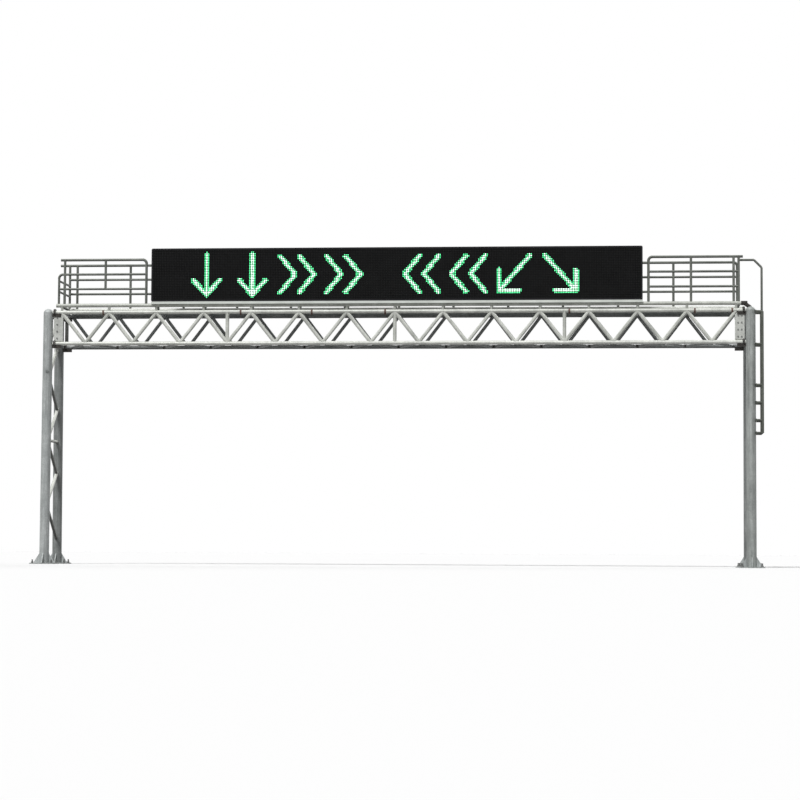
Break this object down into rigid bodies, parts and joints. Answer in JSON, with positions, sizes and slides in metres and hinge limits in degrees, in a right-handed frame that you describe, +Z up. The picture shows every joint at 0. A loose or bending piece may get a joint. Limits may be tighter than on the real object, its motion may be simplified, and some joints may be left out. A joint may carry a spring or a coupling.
{
  "type": "variable message sign gantry",
  "caption": "Road gantry of galvanised tube: box truss on raked twin-column legs, with a long dark lamp-dot message sign, railed walkway and climbing ladder.",
  "frame": {"origin": "ground level under the middle of the gantry", "axes": "+X along the span to the viewer's right, the sign faces -Y, +Z up"},
  "size_m": [16.6, 1.83, 7.2393],
  "materials": {
    "galvanised_steel": "weathered hot-dip zinc, satin",
    "grating_steel": "weathered hot-dip zinc, dull",
    "cabinet_black": "matt black paint",
    "lamp_face": "matt black lamp mask",
    "door_grey": "satin grey paint",
    "channel_grey": "satin light grey paint"
  },
  "bodies": {
    "root": {"left_front_column": "galvanised_steel", "left_rear_column": "galvanised_steel", "right_front_column": "galvanised_steel", "right_rear_column": "galvanised_steel", "left_front_cap": "galvanised_steel", "left_rear_cap": "galvanised_steel", "right_front_cap": "galvanised_steel", "right_rear_cap": "galvanised_steel", "left_front_foot": "galvanised_steel", "left_rear_foot": "galvanised_steel", "right_front_foot": "galvanised_steel", "right_rear_foot": "galvanised_steel", "left_leg_lacing": "galvanised_steel", "right_leg_lacing": "galvanised_steel", "front_top_chord": "galvanised_steel", "front_bottom_chord": "galvanised_steel", "rear_top_chord": "galvanised_steel", "rear_bottom_chord": "galvanised_steel", "truss_front_web": "galvanised_steel", "truss_rear_web": "galvanised_steel", "truss_top": "galvanised_steel", "truss_bottom": "galvanised_steel", "left_splice": "galvanised_steel", "right_splice": "galvanised_steel", "front_bearer": "galvanised_steel", "rear_bearer": "galvanised_steel", "front_runner": "galvanised_steel", "rear_runner": "galvanised_steel", "deck_left": "grating_steel", "deck_middle": "grating_steel", "deck_right": "grating_steel", "front_left_rail": "galvanised_steel", "front_right_rail": "galvanised_steel", "rear_rail": "galvanised_steel", "left_side_rail": "galvanised_steel", "right_end_tie": "galvanised_steel", "sign_channel": "channel_grey", "sign_cabinet": "cabinet_black", "sign_face": "lamp_face", "sign_doors": "door_grey", "sign_frame": "galvanised_steel", "ladder": "galvanised_steel", "grab_rail": "galvanised_steel"}
  },
  "joints": []
}
